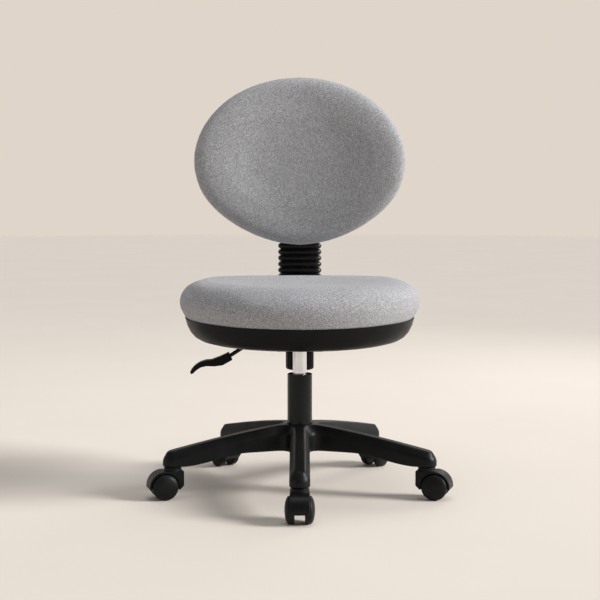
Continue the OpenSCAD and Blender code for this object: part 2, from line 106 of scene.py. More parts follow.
# ---------------------------------------------------------------- camera and light


EYE = (0.0005, -2.655, 0.613)
LOOKS_DOWN = math.radians(4.913)
LENS = 79.57              # millimetres, on a sensor 36 mm wide
FLOOR_RADIUS = 14


def add_camera():
    """The eye is a little over seat height, straight in front, and looks slightly down."""
    data = bpy.data.cameras.new("camera")
    data.sensor_width = 36
    data.lens = LENS
    camera = bpy.data.objects.new("camera", data)
    camera.location = EYE
    camera.rotation_euler = (math.pi / 2 - LOOKS_DOWN, 0, 0)
    bpy.context.collection.objects.link(camera)
    bpy.context.scene.camera = camera


def add_area_light(name, place, target, size, power, colour):
    data = bpy.data.lights.new(name, "AREA")
    data.shape = "DISK"
    data.size = size
    data.energy = power
    data.color = colour
    light = bpy.data.objects.new(name, data)
    light.location = place
    light.rotation_euler = (Vector(target) - Vector(place)).to_track_quat("-Z", "Y").to_euler()
    bpy.context.collection.objects.link(light)


def add_window_light(towards, spread, strength, colour):
    """Even light from one side, as soft as a far window that is spread degrees wide."""
    data = bpy.data.lights.new("window", "SUN")
    data.angle = math.radians(spread)
    data.energy = strength
    data.color = colour
    light = bpy.data.objects.new("window", data)
    light.rotation_euler = Vector(towards).to_track_quat("Z", "Y").to_euler()
    light.location = towards
    bpy.context.collection.objects.link(light)


def add_studio():
    middle = (0, 0, 0.45)
    add_window_light((2.5, -0.45, 1.3), 20, 3.95, (1, 0.98, 0.96))
    add_area_light("fill", (-2.4, -1.9, 1.0), middle, 2.0, 4, (0.94, 0.97, 1))
    add_area_light("rim", (1.4, 1.9, 1.6), middle, 1.2, 12, (1, 0.98, 0.96))
    add_area_light("top", (0, -0.2, 2.8), middle, 1.6, 12, (1, 0.99, 0.98))
    bpy.context.scene.world = studio_walls()
    bpy.context.scene.view_settings.view_transform = "Standard"


def studio_walls():
    """Pale walls that fade upwards into a dimmer ceiling, and are less lit in front and on the left."""
    world = bpy.data.worlds.new("studio")
    world.use_nodes = True
    nodes, links = world.node_tree.nodes, world.node_tree.links
    direction = nodes.new("ShaderNodeSeparateXYZ")
    links.new(nodes.new("ShaderNodeTexCoord").outputs["Generated"], direction.inputs[0])
    strength = nodes.new("ShaderNodeMath")
    strength.operation = "MULTIPLY"
    # Between the first two values of a direction, the strength goes from the third to the fourth.
    in_front, on_the_left = (-0.95, -0.3, 0.36, 0.95), (-0.95, -0.3, 0.6, 1)
    for index, (axis, spans) in enumerate((("Y", in_front), ("X", on_the_left))):
        part = nodes.new("ShaderNodeMapRange")
        part.interpolation_type = "SMOOTHSTEP"
        links.new(direction.outputs[axis], part.inputs["Value"])
        for socket, value in zip(("From Min", "From Max", "To Min", "To Max"), spans):
            part.inputs[socket].default_value = value
        links.new(part.outputs[0], strength.inputs[index])
    fade = nodes.new("ShaderNodeValToRGB")
    links.new(direction.outputs["Z"], fade.inputs["Fac"])
    fade.color_ramp.interpolation = "EASE"
    low, high = fade.color_ramp.elements
    low.position, low.color = 0.16, (0.78, 0.7, 0.62, 1)
    high.position, high.color = 0.5, (0.4, 0.405, 0.41, 1)
    background = nodes["Background"]
    links.new(fade.outputs["Color"], background.inputs["Color"])
    links.new(strength.outputs[0], background.inputs["Strength"])
    return world


def add_floor():
    mesh = bpy.data.meshes.new("floor")
    turns = np.linspace(0, 2 * math.pi, 96, endpoint=False)
    rim = [(FLOOR_RADIUS * math.cos(a), FLOOR_RADIUS * math.sin(a), 0) for a in turns]
    mesh.from_pydata(rim, [], [list(range(len(rim)))])
    floor = bpy.data.objects.new("floor", mesh)
    bpy.context.collection.objects.link(floor)
    mesh.materials.append(pale_floor())


# ---------------------------------------------------------------- materials


class Finish:
    """A node material round one Principled shader."""

    def __init__(self, name, colour, roughness, metallic=0.0):
        self.material = bpy.data.materials.new(name)
        self.material.use_nodes = True
        self.nodes = self.material.node_tree.nodes
        self.links = self.material.node_tree.links
        self.shader = self.nodes["Principled BSDF"]
        self.set("Base Color", (*colour, 1))
        self.set("Roughness", roughness)
        self.set("Metallic", metallic)
        self.coordinates = self.nodes.new("ShaderNodeTexCoord")
        self.place = self.coordinates.outputs["Object"]

    def set(self, socket, value):
        self.shader.inputs[socket].default_value = value

    def add(self, kind, inputs, **settings):
        node = self.nodes.new(kind)
        for key, value in settings.items():
            setattr(node, key, value)
        for key, value in inputs.items():
            if isinstance(value, bpy.types.NodeSocket):
                self.links.new(value, node.inputs[key])
            else:
                node.inputs[key].default_value = value
        return node

    def math(self, operation, a, b):
        return self.add("ShaderNodeMath", {0: a, 1: b}, operation=operation).outputs[0]

    def stretched(self, scale):
        """Object coordinates, scaled along each axis."""
        return self.add("ShaderNodeMapping", {"Vector": self.place, "Scale": scale}).outputs[0]

    def noise(self, size, detail=3.0, stretch=(1, 1, 1), roughness=0.55):
        """Noise whose features are about size metres across."""
        inputs = {"Vector": self.stretched(stretch), "Scale": 1 / size}
        inputs.update({"Detail": detail, "Roughness": roughness})
        return self.add("ShaderNodeTexNoise", inputs).outputs["Fac"]

    def ranged(self, value, low, high, start=0.3, end=0.7):
        """A value between start and end, spread to run from low to high."""
        inputs = {"Value": value, 1: start, 2: end, 3: low, 4: high}
        return self.add("ShaderNodeMapRange", inputs).outputs[0]

    def ramp(self, value, *stops):
        """Colour along stops of (position, colour)."""
        node = self.add("ShaderNodeValToRGB", {"Fac": value})
        elements = node.color_ramp.elements
        while len(elements) < len(stops):
            elements.new(0.5)
        for element, (position, colour) in zip(elements, stops):
            element.position = position
            element.color = (*colour, 1)
        return node.outputs["Color"]

    def mix(self, share, a, b, blend="MIX"):
        node = self.add("ShaderNodeMix", {}, data_type="RGBA", blend_type=blend)
        for socket, value in ((node.inputs[0], share), (node.inputs[6], a), (node.inputs[7], b)):
            if isinstance(value, bpy.types.NodeSocket):
                self.links.new(value, socket)
            else:
                socket.default_value = value
        return node.outputs[2]

    def edges(self, low, high):
        """0 on faces and in hollows, 1 on sharp outer edges."""
        point = self.nodes.new("ShaderNodeNewGeometry").outputs["Pointiness"]
        return self.ranged(point, 0, 1, low, high)

    def upwards(self):
        """1 where the surface faces up, 0 where it is upright or faces down."""
        normal = self.add("ShaderNodeSeparateXYZ", {0: self.coordinates.outputs["Normal"]}).outputs[2]
        return self.ranged(normal, 0, 1, 0.35, 1)

    def bump(self, height, depth, strength, under=None):
        """A normal for a relief depth metres deep, laid over the one under it."""
        inputs = {"Height": height, "Distance": depth, "Strength": strength}
        if under is not None:
            inputs["Normal"] = under
        return self.add("ShaderNodeBump", inputs).outputs[0]

    def link(self, socket, value):
        self.links.new(value, self.shader.inputs[socket])


def grey(value, tint=(1, 1, 1)):
    return tuple(value * t for t in tint)


def crossed_threads(f):
    """The height of a plain weave of threads 0.85 mm wide, on whichever plane the surface faces."""
    thread = math.pi / (0.85 * MM)
    wander = f.add("ShaderNodeTexNoise", {"Vector": f.place, "Scale": 260, "Detail": 1.0}).outputs["Color"]
    shift = f.add("ShaderNodeVectorMath", {0: wander, 3: 0.9 * MM}, operation="SCALE").outputs[0]
    moved = f.add("ShaderNodeVectorMath", {0: f.place, 1: shift}, operation="ADD").outputs[0]
    scaled = f.add("ShaderNodeVectorMath", {0: moved, 3: thread}, operation="SCALE").outputs[0]
    waves = f.add("ShaderNodeVectorMath", {0: scaled}, operation="SINE").outputs[0]
    wave = f.add("ShaderNodeSeparateXYZ", {0: waves}).outputs
    normal = f.add("ShaderNodeSeparateXYZ", {0: f.coordinates.outputs["Normal"]}).outputs
    weave = None
    for a, b, facing in ((0, 1, 2), (0, 2, 1), (1, 2, 0)):
        share = f.math("MULTIPLY", normal[facing], normal[facing])
        crossing = f.math("MULTIPLY", f.math("MULTIPLY", wave[a], wave[b]), share)
        weave = crossing if weave is None else f.math("ADD", weave, crossing)
    return weave


def woven_grey():
    """Heathered grey upholstery: a plain weave of pale and dark yarns under a short raised pile."""
    f = Finish("woven_grey", grey(0.3), 0.92)
    weave = crossed_threads(f)
    cool = (0.98, 1, 1.06)
    fleck = f.noise(1.8 * MM, 2, roughness=0.7)
    streak = f.noise(2.6 * MM, 2, (1, 1, 0.45))
    cloud = f.noise(60 * MM, 3)
    tone = f.math("ADD", f.math("MULTIPLY", fleck, 0.76), f.math("MULTIPLY", streak, 0.24))
    yarns = f.ramp(tone, (0.34, grey(0.185, cool)), (0.5, grey(0.39, cool)), (0.66, grey(0.69, cool)))
    shade = f.ramp(f.ranged(weave, 0, 1, -0.8, 0.8), (0, grey(0.74)), (1, grey(1.0)))
    body = f.mix(1.0, yarns, shade, "MULTIPLY")
    f.link("Base Color", f.mix(f.ranged(cloud, 0.0, 0.2), body, (*grey(0.34, cool), 1)))
    f.link("Roughness", f.ranged(fleck, 0.85, 1.0))
    pile = f.bump(f.noise(0.9 * MM, 2), 0.45 * MM, 0.5)
    f.link("Normal", f.bump(weave, 0.3 * MM, 0.5, pile))
    f.set("Specular IOR Level", 0.15)
    f.set("Sheen Weight", 0.25)
    f.set("Sheen Roughness", 0.4)
    f.set("Sheen Tint", (0.93, 0.95, 1, 1))
    return f.material


COOL_GLOSS = (0.88, 0.95, 1, 1)   # tint of the black parts' highlights


def moulded_black(name, tone, roughness, gloss, grain_size, grain_depth):
    """Black moulded plastic: fine spark-eroded grain, edges paler from wear and a little settled dust."""
    f = Finish(name, grey(tone), roughness)
    grain = f.noise(grain_size, 3, roughness=0.6)
    patch = f.noise(35 * MM, 3)
    edge_wear_and_highlight = f.math("MULTIPLY", f.edges(0.52, 0.62), f.ranged(f.noise(7 * MM), 0.25, 1))
    dust = f.math("MULTIPLY", f.upwards(), f.ranged(patch, 0.1, 0.45))
    base = f.ramp(patch, (0.3, grey(tone * 0.8)), (0.7, grey(tone * 1.25, (1, 1, 1.03))))
    dusty = f.mix(dust, base, (*grey(tone * 1.6, (1.02, 1, 0.99)), 1))
    f.link("Base Color", f.mix(f.math("MULTIPLY", edge_wear_and_highlight, 0.6), dusty, (*grey(tone * 4), 1)))
    rubbed = f.math("MULTIPLY", edge_wear_and_highlight, -0.12)
    f.link("Roughness", f.math("ADD", f.ranged(patch, roughness - 0.06, roughness + 0.08), rubbed))
    f.link("Normal", f.bump(grain, grain_depth, 0.6))
    f.set("Specular IOR Level", gloss)
    f.set("Specular Tint", COOL_GLOSS)
    return f.material


def wheel_black():
    """Caster wheels: harder, smoother plastic with a scuffed, dusty tread."""
    f = Finish("wheel_black", grey(0.018), 0.45)
    scuff = f.noise(2.2 * MM, 4, (1, 1, 1), 0.7)
    patch = f.noise(14 * MM, 3)
    edge_wear_and_highlight = f.math("MULTIPLY", f.edges(0.51, 0.58), f.ranged(scuff, 0.1, 1))
    base = f.ramp(patch, (0.3, grey(0.004)), (0.7, grey(0.007, (1.02, 1, 0.98))))
    f.link("Base Color", f.mix(f.math("MULTIPLY", edge_wear_and_highlight, 0.5), base, (0.045, 0.043, 0.04, 1)))
    f.link("Roughness", f.ranged(scuff, 0.38, 0.56))
    f.link("Normal", f.bump(f.noise(0.7 * MM, 2), 0.03 * MM, 0.5))
    f.set("Specular IOR Level", 0.2)
    f.set("Specular Tint", COOL_GLOSS)
    return f.material


def bellows_rubber():
    """Black rubber: smooth, slightly bloomed in the folds, with a painted highlight along its rib crests."""
    f = Finish("bellows_rubber", grey(0.012), 0.42)
    bloom = f.noise(9 * MM, 4)
    # Painted highlight: every convex rib crest is made paler, as if it caught the light.
    edge_wear_and_highlight = f.edges(0.5, 0.6)
    base = f.ramp(bloom, (0.35, grey(0.003)), (0.75, grey(0.008, (1, 1, 1.02))))
    f.link("Base Color", f.mix(f.math("MULTIPLY", edge_wear_and_highlight, 0.25), base, (0.02, 0.02, 0.021, 1)))
    f.link("Roughness", f.ranged(bloom, 0.26, 0.4))
    f.link("Normal", f.bump(f.noise(1.1 * MM, 3), 0.03 * MM, 0.5))
    f.set("Specular IOR Level", 0.3)
    return f.material


def coated_black():
    """Powder-coated steel: an orange-peel skin with a few pale rubbed marks."""
    f = Finish("coated_black", grey(0.004), 0.34)
    peel = f.noise(1.2 * MM, 2)
    patch = f.noise(28 * MM, 3)
    rubbed = f.ranged(f.noise(5 * MM, 4, (1, 1, 0.4)), 0, 0.5, 0.66, 0.78)
    base = f.ramp(patch, (0.3, grey(0.003)), (0.7, grey(0.0055)))
    f.link("Base Color", f.mix(rubbed, base, (0.03, 0.03, 0.032, 1)))
    f.link("Roughness", f.ranged(patch, 0.2, 0.27))
    f.link("Normal", f.bump(peel, 0.008 * MM, 0.5))
    f.set("Specular IOR Level", 0.25)
    f.set("Specular Tint", COOL_GLOSS)
    return f.material


def zinc_plated():
    """Zinc-plated steel: a faint blue and yellow bloom, drawn marks and dull spots."""
    f = Finish("zinc_plated", grey(0.55), 0.32, 1.0)
    patch = f.noise(8 * MM, 4)
    blue, clear, yellow = (0.46, 0.48, 0.52), (0.6, 0.61, 0.61), (0.63, 0.6, 0.52)
    f.link("Base Color", f.ramp(patch, (0.25, blue), (0.55, clear), (0.8, yellow)))
    marks = f.noise(1.2 * MM, 3, (1, 1, 8))
    dull = f.math("ADD", f.math("MULTIPLY", marks, 0.5), f.math("MULTIPLY", patch, 0.5))
    f.link("Roughness", f.ranged(dull, 0.24, 0.45))
    f.link("Normal", f.bump(marks, 0.02 * MM, 0.5))
    return f.material


def polished_steel():
    """The gas cylinder: bright ground steel with fine turning lines and a film of oil in places."""
    f = Finish("polished_steel", grey(0.74), 0.14, 1.0)
    lines = f.noise(0.8 * MM, 3, (0.04, 0.04, 3))
    film = f.noise(22 * MM, 3)
    f.link("Base Color", f.ramp(film, (0.3, (0.70, 0.71, 0.73)), (0.7, (0.82, 0.82, 0.83))))
    f.link("Roughness", f.math("ADD", f.ranged(lines, 0.08, 0.2), f.ranged(film, 0.0, 0.05)))
    f.link("Normal", f.bump(lines, 0.006 * MM, 0.5))
    return f.material


def acetal_black():
    """Bushes and guides: waxy, dark, self-lubricating plastic with a polished running face."""
    f = Finish("acetal_black", grey(0.012), 0.3)
    patch = f.noise(6 * MM, 3)
    f.link("Base Color", f.ramp(patch, (0.3, grey(0.008)), (0.7, grey(0.016, (1, 1, 1.02)))))
    f.link("Roughness", f.ranged(patch, 0.26, 0.4))
    f.link("Normal", f.bump(f.noise(0.9 * MM, 2), 0.03 * MM, 0.5))
    return f.material


def plywood():
    """Beech plywood: crossed plies 1.5 mm thick at its edges, long grain on its faces."""
    f = Finish("plywood", (0.55, 0.39, 0.24), 0.62)
    plies = f.add("ShaderNodeTexWave", {"Vector": f.place, "Scale": 52, "Distortion": 0.6, "Detail": 1.5},
                  wave_type="BANDS", bands_direction="Z").outputs["Fac"]
    grain = f.noise(3 * MM, 4, (0.08, 1, 1), 0.65)
    tone = f.math("ADD", f.math("MULTIPLY", plies, 0.35), f.math("MULTIPLY", grain, 0.65))
    dark, middling, pale = (0.32, 0.2, 0.11), (0.52, 0.36, 0.21), (0.66, 0.5, 0.33)
    f.link("Base Color", f.ramp(tone, (0.2, dark), (0.55, middling), (0.85, pale)))
    f.link("Roughness", f.ranged(grain, 0.5, 0.75))
    f.link("Normal", f.bump(grain, 0.12 * MM, 0.6))
    return f.material


def pale_floor():
    """A plain pale floor with a faint matt unevenness."""
    f = Finish("pale_floor", (0.75, 0.69, 0.63), 0.85)
    fine = f.noise(4 * MM, 2)
    broad = f.noise(0.5, 2)
    f.link("Base Color", f.ramp(broad, (0.3, (0.74, 0.68, 0.62)), (0.7, (0.76, 0.7, 0.64))))
    f.link("Roughness", f.ranged(fine, 0.8, 0.92))
    f.link("Normal", f.bump(fine, 0.25 * MM, 0.35))
    return f.material


finishes = {
    "black_nylon": moulded_black("glass_filled_nylon", 0.005, 0.4, 0.19, 0.9 * MM, 0.04 * MM),
    "shell_plastic": moulded_black("shell_plastic", 0.004, 0.42, 0.12, 1.1 * MM, 0.05 * MM),
    "wheel_nylon": wheel_black(),
    "zinc_steel": zinc_plated(),
    "black_steel": coated_black(),
    "bush_plastic": acetal_black(),
    "polished_steel": polished_steel(),
    "plywood": plywood(),
    "grey_fabric": woven_grey(),
    "bellows_rubber": bellows_rubber(),
}
slot_of = {}
for entry in frame["record"]["behaviour"].get("bodies", {}).values():
    for name in entry:
        slot_of[name] = frame["nodes"][name].data.materials[0].name


# ---------------------------------------------------------------- mesh tools


def put(name, mesh, node):
    """A new piece with that mesh, in the finish and the slot of the CAD node that it stands for."""
    piece = bpy.data.objects.new(name, mesh)
    bpy.context.collection.objects.link(piece)
    mesh.materials.clear()
    mesh.materials.append(finishes[slot_of[node]])
    return piece


def stand_for(piece, *nodes):
    """The piece rides on those CAD nodes' body and is shown in their place."""
    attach(piece, frame["nodes"][nodes[0]]["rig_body"])
    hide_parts(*nodes)


def welded(*nodes):
    """The CAD nodes' surfaces as one bmesh with its split corners joined."""
    bm = bmesh.new()
    for node in nodes:
        bm.from_mesh(frame["nodes"][node].data)
    bmesh.ops.remove_doubles(bm, verts=bm.verts, dist=0.01 * MM)
    return bm


def to_mesh(bm, name):
    mesh = bpy.data.meshes.new(name)
    bm.to_mesh(mesh)
    bm.free()
    for layer in ("custom_normal", "sharp_edge", "sharp_face"):
        if layer in mesh.attributes:
            mesh.attributes.remove(mesh.attributes[layer])
    return mesh


def mesh_from(points, faces, name):
    mesh = bpy.data.meshes.new(name)
    mesh.from_pydata(points, [], faces)
    mesh.update()
    mesh.shade_smooth()
    return mesh


def bake_modifiers(piece):
    """Puts what the modifiers make into the piece's own mesh."""
    graph = bpy.context.evaluated_depsgraph_get()
    made = bpy.data.meshes.new_from_object(piece.evaluated_get(graph), depsgraph=graph)
    piece.modifiers.clear()
    piece.data = made


def remesh(piece, voxel, rounds):
    """The piece's mesh rebuilt in even cells and smoothed that many times."""
    cells = piece.modifiers.new("cells", "REMESH")
    cells.mode = "VOXEL"
    cells.voxel_size = voxel
    ease = piece.modifiers.new("ease", "SMOOTH")
    ease.factor = 0.5
    ease.iterations = rounds
    bake_modifiers(piece)


def rounded(node, width):
    """A CAD part as it leaves the press or the lathe: the same faces, with small true radii on its edges."""
    bm = welded(node)
    bmesh.ops.dissolve_limit(bm, angle_limit=math.radians(0.6), verts=bm.verts, edges=bm.edges)
    steep = math.radians(28)
    sharp = [e for e in bm.edges if len(e.link_faces) == 2 and e.calc_face_angle(0) > steep]
    bmesh.ops.bevel(bm, geom=sharp, offset=width, segments=2, affect="EDGES", clamp_overlap=True)
    mesh = to_mesh(bm, node)
    mesh.shade_smooth()
    mesh.set_sharp_from_angle(angle=math.radians(40))
    piece = put("round_" + node, mesh, node)
    level = piece.modifiers.new("level", "WEIGHTED_NORMAL")
    level.keep_sharp = True
    stand_for(piece, node)


def softened_mesh(node, voxel, rounds):
    """A moulded part's surface with generous radii: remeshed in small cells and smoothed."""
    helper = bpy.data.objects.new("helper", to_mesh(welded(node), node))
    bpy.context.collection.objects.link(helper)
    remesh(helper, voxel, rounds)
    made = helper.data
    bpy.data.objects.remove(helper)
    made.shade_smooth()
    return made


def softened(node, voxel, rounds):
    stand_for(put("soft_" + node, softened_mesh(node, voxel, rounds), node), node)


def lathe(profile, steps):
    """Points and faces of a profile of (radius, height) turned round Z. A radius of 0 closes the surface."""
    points, rows = [], []
    for radius, height in profile:
        count = 1 if radius == 0 else steps
        rows.append([len(points) + k % count for k in range(steps)])
        for k in range(count):
            turn = 2 * math.pi * k / steps
            points.append((radius * math.cos(turn), radius * math.sin(turn), height))
    faces = []
    for low, high in zip(rows, rows[1:]):
        for k in range(steps):
            m = (k + 1) % steps
            ring = [low[k], low[m], high[m], high[k]]
            faces.append(list(dict.fromkeys(ring)))
    return points, [face for face in faces if len(face) > 2]


def arc(middle, radius, start, end, steps):
    """Points of a circle's arc, in the profile's plane, between two angles in degrees."""
    angles = np.radians(np.linspace(start, end, steps + 1))
    return [(middle[0] + radius * math.cos(a), middle[1] + radius * math.sin(a)) for a in angles]


CORNERS = np.array([(i, j, k) for i in (0, 1) for j in (0, 1) for k in (0, 1)])


def surface_net(solid, low, high, step):
    """Quads of the surface where solid(x, y, z), negative inside, is zero."""
    axes = [np.arange(a, b + step, step) for a, b in zip(low, high)]
    field = solid(*np.meshgrid(*axes, indexing="ij", sparse=True)).astype(np.float32)
    inside = field < 0
    size = np.array(field.shape) - 1
    count = np.zeros(size, np.uint8)
    for i, j, k in CORNERS:
        count += inside[i:i + size[0], j:j + size[1], k:k + size[2]]
    cells = np.argwhere((count > 0) & (count < 8))
    number = np.full(size, -1, np.int64)
    number[tuple(cells.T)] = np.arange(len(cells))
    points = np.array(low) + step * net_points(field, cells)
    return settled(solid, points, step), net_quads(inside, size, number)


def net_points(field, cells):
    """One point in each cell: the middle of the places where the surface crosses the cell's edges."""
    total, crossings = np.zeros((len(cells), 3)), np.zeros(len(cells))
    for corner in CORNERS:
        for along in np.eye(3, dtype=int)[corner == 0]:
            a = field[tuple((cells + corner).T)]
            b = field[tuple((cells + corner + along).T)]
            crossed = (a < 0) != (b < 0)
            share = a[crossed] / (a[crossed] - b[crossed])
            total[crossed] += corner + share[:, None] * along
            crossings[crossed] += 1
    return cells + total / crossings[:, None]


def net_quads(inside, size, number):
    """A quad across each grid edge that the surface crosses, between the four cells round it."""
    quads = []
    for axis in range(3):
        along, u, v = np.roll(np.eye(3, dtype=int), -axis, axis=0)
        here = inside[tuple(slice(0, n) for n in size)]
        there = inside[tuple(slice(d, n + d) for d, n in zip(along, size))]
        starts = np.argwhere(here != there)
        starts = starts[((starts - u - v) >= 0).all(1)]
        quad = np.stack([number[tuple((starts - s).T)] for s in (u + v, v, 0 * u, u)], 1)
        away = ~here[tuple(starts.T)]
        quad[away] = quad[away][:, ::-1]
        quads.append(quad)
    return np.concatenate(quads)


def settled(solid, points, step):
    """Points near a solid's surface, moved exactly onto it along the way the distance falls."""
    nudge = 0.1 * MM
    for _ in range(2):
        slopes = [(solid(*(points + shift).T) - solid(*(points - shift).T)) / (2 * nudge)
                  for shift in nudge * np.eye(3)]
        slope = np.stack(slopes, 1)
        move = -solid(*points.T)[:, None] * slope / np.maximum((slope ** 2).sum(1, keepdims=True), 0.3)
        length = np.linalg.norm(move, axis=1, keepdims=True)
        points = points + move * np.minimum(1, 0.4 * step / np.maximum(length, 1e-9))
    return points


# ---------------------------------------------------------------- five-star base


ARM_PITCH = 2 * math.pi / ARMS
ARM_HALF = 19.4 * MM      # half the width of an arm
TIP_DROP = 39.5 * MM      # how far an arm's top falls from the hub to its tip
FILLET = 34 * MM          # how softly two arms run into one another round the hub
ROUND = 2.5 * MM          # radius along an arm's edges
BEVEL_DROP = 14 * MM      # height of the slope below an arm's flat top
BEVEL_SLOPE = 0.66        # how far the slope goes out for each step down
BELLY = (84 * MM, 64.3 * MM)   # height of an arm's underside at the hub and at its tip
BELLY_DROP = (112 * MM, 246 * MM)   # where it starts and stops coming down
RIB_STATIONS = np.array([62, 100, 143, 186, 228]) * MM   # cross ribs, from the hub outwards
RIB_HALF = 1.6 * MM       # half the thickness of a rib
WALL = 4.6 * MM           # thickness of an arm's sides
ROOF = 5.5 * MM           # thickness of an arm's top
BEVEL_WALL = 4 * MM       # thickness under the slope
CROWN = 30 * MM           # reach of the level crown round the column
DROOP = 1.25              # how evenly an arm's top falls: 1 is a straight line


def round_max(a, b, radius):
    """Where two solids overlap, with that radius along the edge where their faces meet."""
    corner = np.hypot(np.maximum(a + radius, 0), np.maximum(b + radius, 0))
    return np.minimum(np.maximum(a, b), -radius) + corner


def ramp_up(values, start, end):
    """0 before start, 1 after end, and a smooth rise between them."""
    share = np.clip((values - start) / (end - start), 0, 1)
    return share * share * (3 - 2 * share)


def soft_min(a, b, reach):
    """Two solids joined, with a fillet in the corner between them."""
    near = np.maximum(reach - np.abs(a - b), 0) / reach
    return np.minimum(a, b) - near * near * reach / 4


def star_plan(reach, off):
    """Distance outwards from the outline of the arms, seen from above. off is the turn from the nearest."""
    def arm(angle):
        along, across = reach * np.cos(angle), np.abs(reach * np.sin(angle))
        return np.hypot(np.maximum(along - stem_circle, 0), across) - ARM_HALF

    return soft_min(arm(off), arm(ARM_PITCH - off), FILLET)


def star_hollow(plan, bevel, above, along):
    """The open underside of an arm, between its ribs."""
    rib = np.min([np.abs(along - s) for s in RIB_STATIONS], axis=0) - RIB_HALF
    ends = np.maximum(RIB_STATIONS[0] - along, along - RIB_STATIONS[-1])
    hollow = round_max(plan + WALL, above + ROOF, 3 * MM)
    hollow = np.maximum(hollow, bevel + BEVEL_WALL)
    return round_max(np.maximum(hollow, ends), -rib, 1.2 * MM)


def star_solid(x, y, z):
    """Distance to the base: five hollow ribbed arms that leave the hub as one casting."""
    reach = np.hypot(x, y)
    turn = np.arctan2(x, -y)
    off = np.abs((turn + ARM_PITCH / 2) % ARM_PITCH - ARM_PITCH / 2)
    plan = star_plan(reach, off)
    share = np.maximum(reach - CROWN, 0) / (stem_circle - CROWN)
    above = z - (star_high.z - TIP_DROP * share ** DROOP)
    bevel = (plan + BEVEL_SLOPE * (above + BEVEL_DROP)) / math.hypot(1, BEVEL_SLOPE)
    under = BELLY[0] - (BELLY[0] - BELLY[1]) * ramp_up(reach, *BELLY_DROP)
    solid = round_max(round_max(plan, bevel, ROUND), above, ROUND)
    solid = round_max(solid, under - z, 1.5 * MM)
    solid = np.maximum(solid, -star_hollow(plan, bevel, above, reach * np.cos(off)))
    bore = np.maximum(reach - ring_radius, z - star_high.z + 2 * MM)
    return np.maximum(np.maximum(solid, -bore), tube_radius - reach)


def build_base():
    step = 1.7 * MM
    edge = stem_circle + ARM_HALF + 2 * step
    low = (-edge, -edge, star_low.z - 2 * step)
    high = (edge, edge, star_high.z + 2 * step)
    points, quads = surface_net(star_solid, low, high, step)
    piece = put("star_base", mesh_from(points.tolist(), quads.tolist(), "star_base"), "base_star")
    stand_for(piece, "base_star")


# ---------------------------------------------------------------- cushions


CUSHION_CELL = 5 * MM
SHRINK = 1 * MM           # how far a pad is drawn in before it is blown up
SWELL = 4 * MM            # how far it may then grow
PRESSURE = 4
GIVE = 0.5                # share of the simulated growth that the firm foam allows
TAUTNESS = 30             # rounds of evening out, which keep the stretched cover free of creases
VALLEY = 12 * MM          # how deep the middle of the backrest lies
PROUD = (0.014, 0, 0.02)  # share by which the back's cover stands out past its solid
TUCK = 5.4 * MM           # how far the seat's side is drawn in above the pan
TUCK_HEIGHT = 8 * MM      # where it is drawn in most
HEM = 20 * MM             # width of the cover's hem on the seat board
SETTLE = 3.5 * MM         # how far the hem is pressed down round the pan's rim
CLEARANCE = 6 * MM        # how far the rest of the underside rises into the board


def cushion(name, nodes, board, pinned, shape):
    """Foam under stretched fabric: the CAD pad, drawn in a little and then blown up against its own cover.

    pinned(points) gives 1 where the cover is held to its board and 0 where it is free. The board fills
    the pad's open side while it is remeshed. shape(points) says how far each point first moves.
    """
    piece = put(name, to_mesh(welded(*nodes, board), name), nodes[0])
    remesh(piece, CUSHION_CELL, 8)
    mesh = piece.data
    points = np.array([v.co for v in mesh.vertices])
    normals = np.array([v.normal for v in mesh.vertices])
    held = pinned(points)
    start = points - normals * (SHRINK * (1 - held))[:, None] + shape(points)
    mesh.vertices.foreach_set("co", start.astype(np.float32).ravel())
    simulate(piece, held)
    set_swell(piece, start, held)
    piece.vertex_groups.clear()
    fine = piece.modifiers.new("fine", "SUBSURF")
    fine.levels = 1
    fine.render_levels = 1
    bake_modifiers(piece)
    piece.data.shade_smooth()
    stand_for(piece, *nodes)
    return piece


def set_swell(piece, start, held):
    """The simulated growth is evened out, and kept within what the cover allows."""
    grown = np.array([v.co for v in piece.data.vertices])
    moved = GIVE * evened(piece.data, grown - start)
    length = np.linalg.norm(moved, axis=1, keepdims=True)
    allowed = SWELL * (1 - held)[:, None]
    grown = start + moved * np.minimum(1, allowed / np.maximum(length, 1e-9))
    piece.data.vertices.foreach_set("co", grown.astype(np.float32).ravel())


def evened(mesh, values):
    """Each vertex's value averaged with its neighbours' again and again."""
    ends = np.empty(2 * len(mesh.edges), np.int64)
    mesh.edges.foreach_get("vertices", ends)
    first, second = ends[0::2], ends[1::2]
    size = len(values)
    degree = np.bincount(ends, minlength=size)[:, None]
    for _ in range(TAUTNESS):
        sums = [np.bincount(first, column[second], size) + np.bincount(second, column[first], size)
                for column in values.T]
        values = (values + np.stack(sums, 1)) / (degree + 1)
    return values


def simulate(piece, held):
    """The pad as a closed balloon of cloth, under pressure for 20 frames."""
    group = piece.vertex_groups.new(name="held")
    for index, weight in enumerate(held):
        group.add([index], float(weight), "REPLACE")
    cloth = piece.modifiers.new("cloth", "CLOTH")
    settings = cloth.settings
    settings.quality = 6
    settings.mass = 0.3
    settings.tension_stiffness = 18
    settings.compression_stiffness = 18
    settings.shear_stiffness = 8
    settings.bending_stiffness = 1.5
    settings.use_pressure = True
    settings.uniform_pressure_force = PRESSURE
    settings.vertex_group_mass = "held"
    settings.effector_weights.gravity = 0
    cloth.point_cache.frame_start = 1
    cloth.point_cache.frame_end = 20
    for step in range(1, 21):
        bpy.context.scene.frame_set(step)
    bake_modifiers(piece)
    bpy.context.scene.frame_set(1)


def build_cushions():
    seat = cushion("seat_cushion", ["seat_upholstery", "seat_foam"], "seat_board", pinned_seat, seat_shape)
    back = cushion("back_cushion", ["back_upholstery", "back_foam"], "back_board", pinned_back, back_shape)


def pinned_seat(points):
    return 1 - ramp_up(points[:, 2], seat_low.z + 4 * MM, seat_low.z + 20 * MM)


def pinned_back(points):
    return ramp_up(points[:, 1], back_board_front - 14 * MM, back_board_front - 2 * MM)


